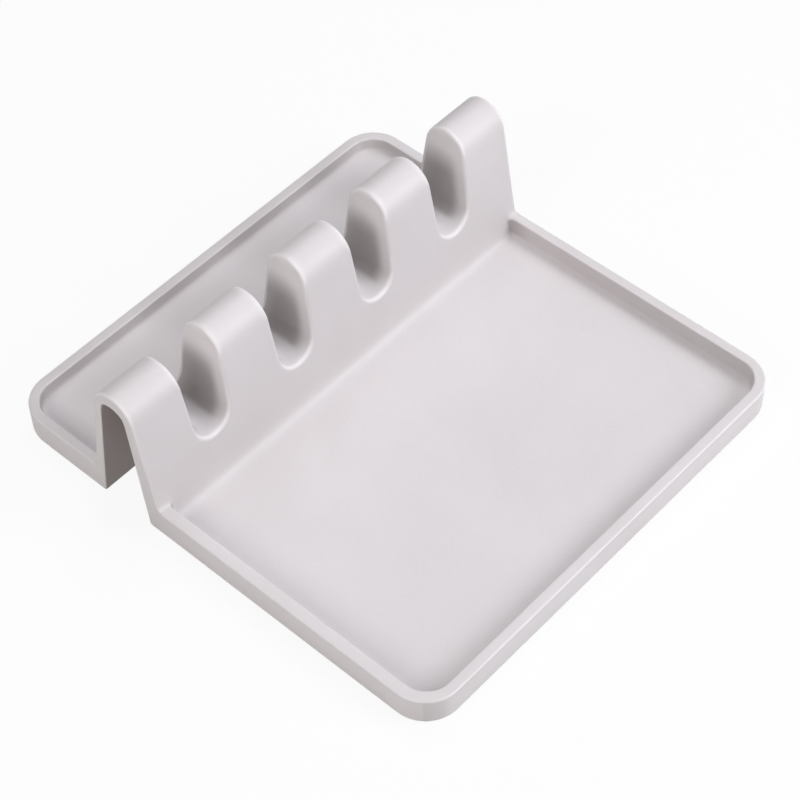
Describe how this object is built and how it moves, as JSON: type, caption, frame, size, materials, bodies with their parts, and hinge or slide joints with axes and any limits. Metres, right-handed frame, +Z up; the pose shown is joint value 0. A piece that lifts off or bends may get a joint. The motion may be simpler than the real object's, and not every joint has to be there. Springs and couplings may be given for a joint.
{
  "type": "spoon rest",
  "caption": "Soft silicone spoon rest with a wide front tray, a narrow rear tray and a hollow slotted ridge between them that holds utensil handles.",
  "frame": {"origin": "centre of the footprint's bounding box, on the flat underside that stands on the table", "axes": "+X along the ridge to the right, +Y from the front tray to the rear tray, +Z up"},
  "size_m": [0.2, 0.2106, 0.064],
  "materials": {
    "silicone": "satin"
  },
  "bodies": {
    "root": {"front_tray_floor": "silicone", "front_tray_front_rim": "silicone", "front_tray_left_rim": "silicone", "front_tray_right_rim": "silicone", "rear_tray_floor": "silicone", "rear_tray_rear_rim": "silicone", "rear_tray_left_rim": "silicone", "rear_tray_right_rim": "silicone", "ridge_front_wall": "silicone", "ridge_back_wall": "silicone", "ridge_crown_1": "silicone", "ridge_crown_2": "silicone", "ridge_crown_3": "silicone", "ridge_crown_4": "silicone", "ridge_crown_5": "silicone", "slot_liner_1": "silicone", "slot_liner_2": "silicone", "slot_liner_3": "silicone", "slot_liner_4": "silicone"}
  },
  "joints": []
}
